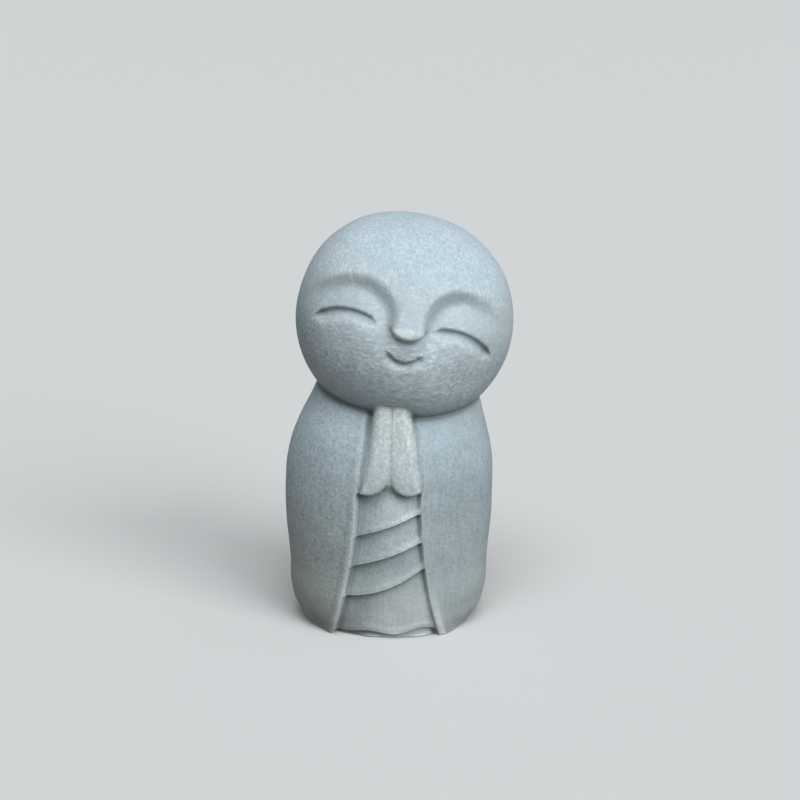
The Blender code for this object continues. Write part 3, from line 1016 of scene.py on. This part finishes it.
def painted_shade_lines(points):
    """Painted shade in the carved lines and creases: face, neck, under the folds, and the edges
    beside the hands.
    """
    x, y, height = points.T
    across, depth, up = in_head_frame(points).T
    off_head, off_hands = head(points), hands(points)
    face = stroke(MOUTH_CURVE, across, up, LINE_WIDTHS)
    for side in (-1, 1):
        face = np.maximum(face, stroke(EYE_CURVES[side], side * across, up, LINE_WIDTHS))
    face *= ease(*FRONT_MARKS, -depth) * (1.0 - ease(*FACE_LINE_FADE, off_head))
    over, under = CREASE_SPREADS
    seam = np.hypot(np.maximum(body(points), 0.0) / over, off_head / under)
    crease = mix(*CREASE_DARK, ease(*CREASE_ACROSS, x)) * bump(seam, 0.0, 1.0)
    beside = np.maximum(off_hands - VALLEY_WIDTH, 0.0)
    valley = ease(0.0, VALLEY_WIDTH, off_hands) * bump(beside, 0.0, VALLEY_SPREAD)
    valley *= ease(0.0, CUFF_FADE, height - CUFF_HEIGHT) * ease(0.0, 1.0, off_head)
    within = ease(*FOLD_DARK_EDGE, inside_opening(x, height))
    folds = sum(
        bump(fold_line(x, fold) - height, FOLD_DARK_DROP, FOLD_DARK_SPREAD) for fold in FOLDS
    )
    foot = bump(x - opening_edge(-1, height), EDGE_FOOT_IN, EDGE_FOOT_SPREAD)
    foot *= ease(0.0, CUFF_FADE, CUFF_HEIGHT - height)
    front = VALLEY_DARK * valley + EDGE_FOOT_DARK * foot + FOLD_DARK * within * folds
    return FACE_LINE_DARK * face + crease + ease(*FRONT_FADE, -y) * front


def cloak_tone(x, height):
    """The cloak: greyer low down, a little paler at its sides."""
    tone = by(CLOAK_TONES, height) + CLOAK_SIDE_TONE * ease(*SIDES, np.abs(x))
    return tone + by(CLOAK_RIGHT_TONES, height) * ease(*CLOAK_RIGHT, x)


def robe_tone(x, height):
    """The robe: painted shade towards its left and beside the cloak, and pale lips that are
    brushed and partly a painted highlight.
    """
    beside = ease(*ROBE_EDGE_REACH, inside_opening(x, height))
    tone = by(ROBE_TONES, height) * ease(*ROBE_TONE_REACH, x) * mix(ROBE_EDGE_SHARE, 1.0, beside)
    for fold in FOLDS:
        # The folds' pale lips, partly a painted highlight, paler towards the right
        lip = bump(height - fold_line(x, fold), LIP_TONE_HEIGHT, LIP_TONE_SPREAD)
        tone += FOLD_LIP_TONE * lip * ease(*FOLD_LIP_ACROSS, x)
    return tone + HEM_LIP_TONE * bump(height - hem_line(x), LIP_TONE_HEIGHT, LIP_TONE_SPREAD)


def head_tone(local):
    """The head: greyer at the crown, with painted shade under the chin and on its lower sides,
    and a pale patch on the tip of the nose.
    """
    across, depth, up = local.T
    beside = ease(*SIDES, np.abs(across)) * ease(*SIDE_SHADE_HEIGHTS, up)
    fade = mix(*SIDE_SHADE, ease(*SIDE_SHADE_ACROSS, across))
    tone = by(HEAD_TONES, up) * (1.0 - fade * beside)
    tone += BROW_TONE * ease(*BROW_TONE_ACROSS, across) * ease(*BROW_TONE_HEIGHTS, up)
    off_cheek = np.hypot(across - CHEEK_TONE_CENTRE[0], up - CHEEK_TONE_CENTRE[1])
    tone -= CHEEK_TONE * bump(off_cheek, 0.0, CHEEK_TONE_SPREAD)
    outline, rise = nose_outline(across, up)
    left, below = NOSE_TIP_PATCH
    patch = bump(across, NOSE_TIP[0] - left, NOSE_TIP_PATCH_SPREADS[0])
    patch *= bump(rise, -below, NOSE_TIP_PATCH_SPREADS[1])
    patch *= 1.0 - ease(*NOSE_TIP_PATCH_EDGE, outline)
    return tone + NOSE_TIP_TONE * patch * ease(*FRONT_MARKS, -depth)


def mark_edges_and_painted_shade(shape, points):
    """Marks the edges that were brushed pale, and painted shade where nearby surfaces close a
    point in and along the carved lines.
    """
    ways = WEAR_REACH * np.vstack((np.eye(3), -np.eye(3)))
    bend = sum(statue(points + way) for way in ways) / WEAR_REACH**2
    mark(shape, "edges", ease(*WEAR_CURVE, bend))
    normals = surface_normals(points)
    # Painted shade: the less open a point is, the darker its colour
    clear = sum(
        np.clip(statue(points + reach * normals) / reach, 0.0, 1.0) for reach in PAINTED_SHADE_REACH
    )
    mark(shape, "painted_shade", 1.0 - clear / len(PAINTED_SHADE_REACH) + painted_shade_lines(points))


def mark_wear_and_painted_light(shape):
    """Marks the casting's edges and painted shade, and each part's tone with its painted light
    and shade, its warm tint with painted bounce light, and its grain.
    """
    points = places(shape)
    mark_edges_and_painted_shade(shape, points)
    x, y, height = points.T
    local = in_head_frame(points)
    up = local[:, 2]
    inside = inside_opening(x, height)
    front = ease(*FRONT_MARKS, -y)
    on_robe = front * ease(*ROBE_MARKS, inside)
    past_rim = front * ease(*RIM_MARKS, inside)
    on_rim = past_rim * (1.0 - ease(*RIM_MARKS_END, inside))
    on_head = 1.0 - ease(0.0, HEAD_SEAM, head(points))
    on_hands = 1.0 - ease(0.0, HAND_SEAM, hands(points))

    # The rims' tone, with a painted highlight on the right rim's flared foot
    rim_tone = np.where(x > 0.0, *(by(RIM_TONES[side], height) for side in (1, -1)))
    hand_tone = by(HAND_TONES, height) + mix(*HAND_TONE_CHANGES, ease(*HAND_TONE_ACROSS, x))
    tone = mix(cloak_tone(x, height), robe_tone(x, height), on_robe)
    tone = mix(mix(tone, rim_tone, on_rim), head_tone(local), on_head)
    mark(shape, "tones", mix(tone, hand_tone, on_hands))

    # A warm tint: painted bounce light on the cloak, robe and head, and the hands' own creamy
    # tint
    warm_tint_and_bounce = ease(*CLOAK_BOUNCE_HEIGHTS, height) * mix(*CLOAK_BOUNCE_TINT, ease(*CLOAK_BOUNCE_ACROSS, x))
    warm_tint_and_bounce = mix(warm_tint_and_bounce, by(ROBE_BOUNCE_TINT, height), past_rim)
    warm_tint_and_bounce = mix(warm_tint_and_bounce, by(HEAD_BOUNCE_TINT, up), on_head)
    mark(shape, "warm_tint_and_bounce", mix(warm_tint_and_bounce, HAND_WARMTH, on_hands))

    grit = mix(mix(*CLOAK_GRIT, ease(*CLOAK_GRIT_ACROSS, x)), ROBE_GRIT, on_robe)
    grit = mix(grit * ease(*GRIT_HEIGHTS, height), by(HEAD_GRIT, up), on_head)
    mark(shape, "grit", mix(grit, HAND_GRIT, on_hands))
    mark(shape, "streaks", mix(CLOAK_STREAKS, by(CROWN_STREAKS, up), on_head))
    mark(shape, "dabs", on_head * ease(*DAB_HEIGHTS, up))


def roughen(shape):
    """The slight unevenness of a surface that was shaped by hand."""
    points = places(shape)
    normals = surface_normals(points)
    for size, height in UNEVENNESS:
        lumps = np.array([noise.noise(Vector(point)) for point in points / size])
        fade = ease(*UNEVEN_ABOVE, points[:, 2])
        points += (height * fade * lumps)[:, None] * normals
    set_places(shape, points)


class Signal:
    """One socket of a finish, for use in plain arithmetic."""

    def __init__(self, tree, socket=None):
        self.tree = tree
        self.socket = socket

    def node(self, kind, settings, inputs, output=0):
        """Adds a node: its settings first, then the values and links of its sockets."""
        made = self.tree.nodes.new(kind)
        for name, value in settings.items():
            setattr(made, name, value)
        for name, value in inputs.items():
            if isinstance(value, Signal):
                self.tree.links.new(value.socket, made.inputs[name])
            else:
                made.inputs[name].default_value = value
        return Signal(self.tree, made.outputs[output])

    def math(self, operation, first, second=0.0, clamp=False):
        """A Math node on two numbers."""
        settings = {"operation": operation, "use_clamp": clamp}
        return self.node("ShaderNodeMath", settings, {0: first, 1: second})

    def __add__(self, other):
        return self.math("ADD", self, other)

    def __sub__(self, other):
        return self.math("SUBTRACT", self, other)

    def __rsub__(self, other):
        return self.math("SUBTRACT", other, self)

    def __mul__(self, other):
        return self.math("MULTIPLY", self, other)

    __radd__ = __add__
    __rmul__ = __mul__

    def ramp(self, low, high):
        """0 below low, 1 above high."""
        settings = {"interpolation_type": "SMOOTHSTEP"}
        return self.node("ShaderNodeMapRange", settings, {"Value": self, 1: low, 2: high})

    def noise(self, where, size, roughness=0.5):
        """Noise from 0 to 1, with lumps of a size given in millimetres."""
        inputs = {"Vector": where, "Scale": 1.0 / (size * MM), "Detail": LUMP_DETAIL}
        inputs["Roughness"] = roughness
        return self.node("ShaderNodeTexNoise", {"noise_dimensions": "3D"}, inputs)

    def tint(self, first, second, share, blend="MIX"):
        """One colour into another."""
        settings = {"data_type": "RGBA", "blend_type": blend}
        return self.node("ShaderNodeMix", settings, {0: share, 6: first, 7: second}, 2)

    def attribute(self, name):
        """A number kept on the casting's vertices."""
        return self.node("ShaderNodeAttribute", {"attribute_name": name}, {}, 2)


def cast_concrete():
    """Blue-grey cast concrete: sandy grain, faint brushing and paler edges, with painted light
    and shade in its tones and painted shade in its recesses.
    """
    material = bpy.data.materials.new("cast_concrete")
    material.use_nodes = True
    tree = material.node_tree
    shader = tree.nodes["Principled BSDF"]
    nodes = Signal(tree)
    here = nodes.node("ShaderNodeTexCoord", {}, {}, 3)
    stretch = {"Vector": here, "Scale": (1.0, 1.0, BRUSH_STRETCH)}
    brushed = nodes.node("ShaderNodeMapping", {"vector_type": "POINT"}, stretch)

    grain = nodes.noise(here, GRAIN_SIZE, GRAIN_ROUGHNESS)
    leaned = {"Vector": here, "Rotation": (0.0, DAB_LEAN, 0.0), "Scale": (DAB_STRETCH, 1.0, 1.0)}
    dabbed = nodes.node("ShaderNodeMapping", {"vector_type": "POINT"}, leaned)
    dabs = nodes.noise(dabbed, SAND_SIZE)
    sand = nodes.noise(here, SAND_SIZE)
    sand = sand + nodes.attribute("dabs") * (dabs - sand)
    patches = nodes.noise(here, PATCH_SIZE)
    clouds = nodes.noise(here, CLOUD_SIZE)
    strokes = nodes.noise(brushed, STROKE_SIZE)
    edges = nodes.attribute("edges")
    painted_shade = nodes.attribute("painted_shade")
    tones = nodes.attribute("tones")
    streaks = nodes.attribute("streaks")
    grit = nodes.attribute("grit")

    pale = tones + EDGE_LIGHT * edges * (EDGE_GRAIN[0] + EDGE_GRAIN[1] * grain)
    pale = pale + PATCH_TONE * (patches - 0.5) + CLOUD_TONE * (clouds - 0.5)
    pale = pale + STROKE_TONE * streaks * (strokes - 0.5)
    pale = pale + grit * (GRAIN_TONE * (grain - 0.5) + SAND_TONE * (sand - 0.5))
    colour = nodes.tint(BARE_AND_SHADED_CONCRETE, BRUSHED_AND_LIT_CONCRETE, pale)
    # The warm tint: painted bounce light, and the hands' own cream
    colour = nodes.tint(colour, WARM_TINGE, nodes.attribute("warm_tint_and_bounce"), "MULTIPLY")
    colour = nodes.tint(colour, CREAM_CONCRETE, pale.ramp(*CREAM_RANGE))
    # Painted shade: the colour darkened in recesses, creases and carved lines
    dark = nodes.math("POWER", painted_shade, PAINTED_SHADE_POWER) * PAINTED_SHADE_DARK
    colour = nodes.tint(colour, PAINTED_SHADE_CONCRETE, dark)
    tree.links.new(colour.socket, shader.inputs["Base Color"])
    rough = ROUGHNESS + ROUGHNESS_CHANGE * (grain - edges)
    tree.links.new(rough.socket, shader.inputs["Roughness"])
    height = grain * GRAIN_SHARE + sand + strokes * streaks * STROKE_SHARE
    relief = {"Strength": GRAIN_STRENGTH, "Distance": GRAIN_DEPTH * MM, "Height": height}
    bumps = nodes.node("ShaderNodeBump", {}, relief)
    tree.links.new(bumps.socket, shader.inputs["Normal"])
    shader.inputs["Specular IOR Level"].default_value = SPECULAR
    return material


def studio_floor():
    """A plain pale floor."""
    work = bmesh.new()
    bmesh.ops.create_grid(work, x_segments=1, y_segments=1, size=FLOOR_REACH)
    shape = bpy.data.meshes.new("floor")
    work.to_mesh(shape)
    work.free()
    floor = bpy.data.objects.new("floor", shape)
    bpy.context.scene.collection.objects.link(floor)
    pale = bpy.data.materials.new("pale_floor")
    pale.use_nodes = True
    shader = pale.node_tree.nodes["Principled BSDF"]
    shader.inputs["Base Color"].default_value = FLOOR_COLOUR
    shader.inputs["Roughness"].default_value = FLOOR_ROUGHNESS
    shape.materials.append(pale)
    floor.visible_diffuse = False


def aimed(turn, lift, distance, target):
    """A place and a direction, seen from the target: turned to the right and lifted."""
    turn, lift = math.radians(turn), math.radians(lift)
    direction = Vector(
        (math.sin(turn) * math.cos(lift), -math.cos(turn) * math.cos(lift), math.sin(lift))
    )
    place = Matrix.Translation(Vector(target) * MM + direction * distance * MM)
    return place @ direction.to_track_quat("Z", "Y").to_matrix().to_4x4()


def studio_light(name, turn, lift, strength, colour):
    """A broad soft light aimed at the figure."""
    light = bpy.data.lights.new(name, "SUN")
    light.angle = LIGHT_BREADTH
    light.energy = strength
    light.color = colour
    lamp = bpy.data.objects.new(name, light)
    lamp.matrix_world = aimed(turn, lift, LIGHT_DISTANCE, VIEW_TARGET)
    bpy.context.scene.collection.objects.link(lamp)


def surroundings():
    """A plain pale room, dim enough to leave the shading to the lights."""
    world = bpy.data.worlds.new("surroundings")
    world.use_nodes = True
    tree = world.node_tree
    nodes = Signal(tree)
    seen = nodes.node("ShaderNodeLightPath", {}, {})
    room = nodes.tint(ROOM_LIGHT, ROOM_SEEN, seen)
    tree.links.new(room.socket, tree.nodes["Background"].inputs["Color"])
    bpy.context.scene.world = world


def studio():
    """The camera, the lights and the pale surroundings."""
    scene = bpy.context.scene
    view = bpy.data.cameras.new("camera")
    view.lens = VIEW_LENS
    view.sensor_width = SENSOR_WIDTH
    view.clip_start = CLIP_START
    camera = bpy.data.objects.new("camera", view)
    camera.matrix_world = aimed(0.0, VIEW_LIFT, VIEW_DISTANCE, VIEW_TARGET)
    scene.collection.objects.link(camera)
    scene.camera = camera
    for light in LIGHTS:
        studio_light(*light)
    surroundings()
    scene.view_settings.view_transform = "Standard"


studio()
studio_floor()

casting = statue_casting()
mark_wear_and_painted_light(casting.data)
roughen(casting.data)
casting.data.materials.append(cast_concrete())
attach(casting, "root")
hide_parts(FIGURE)
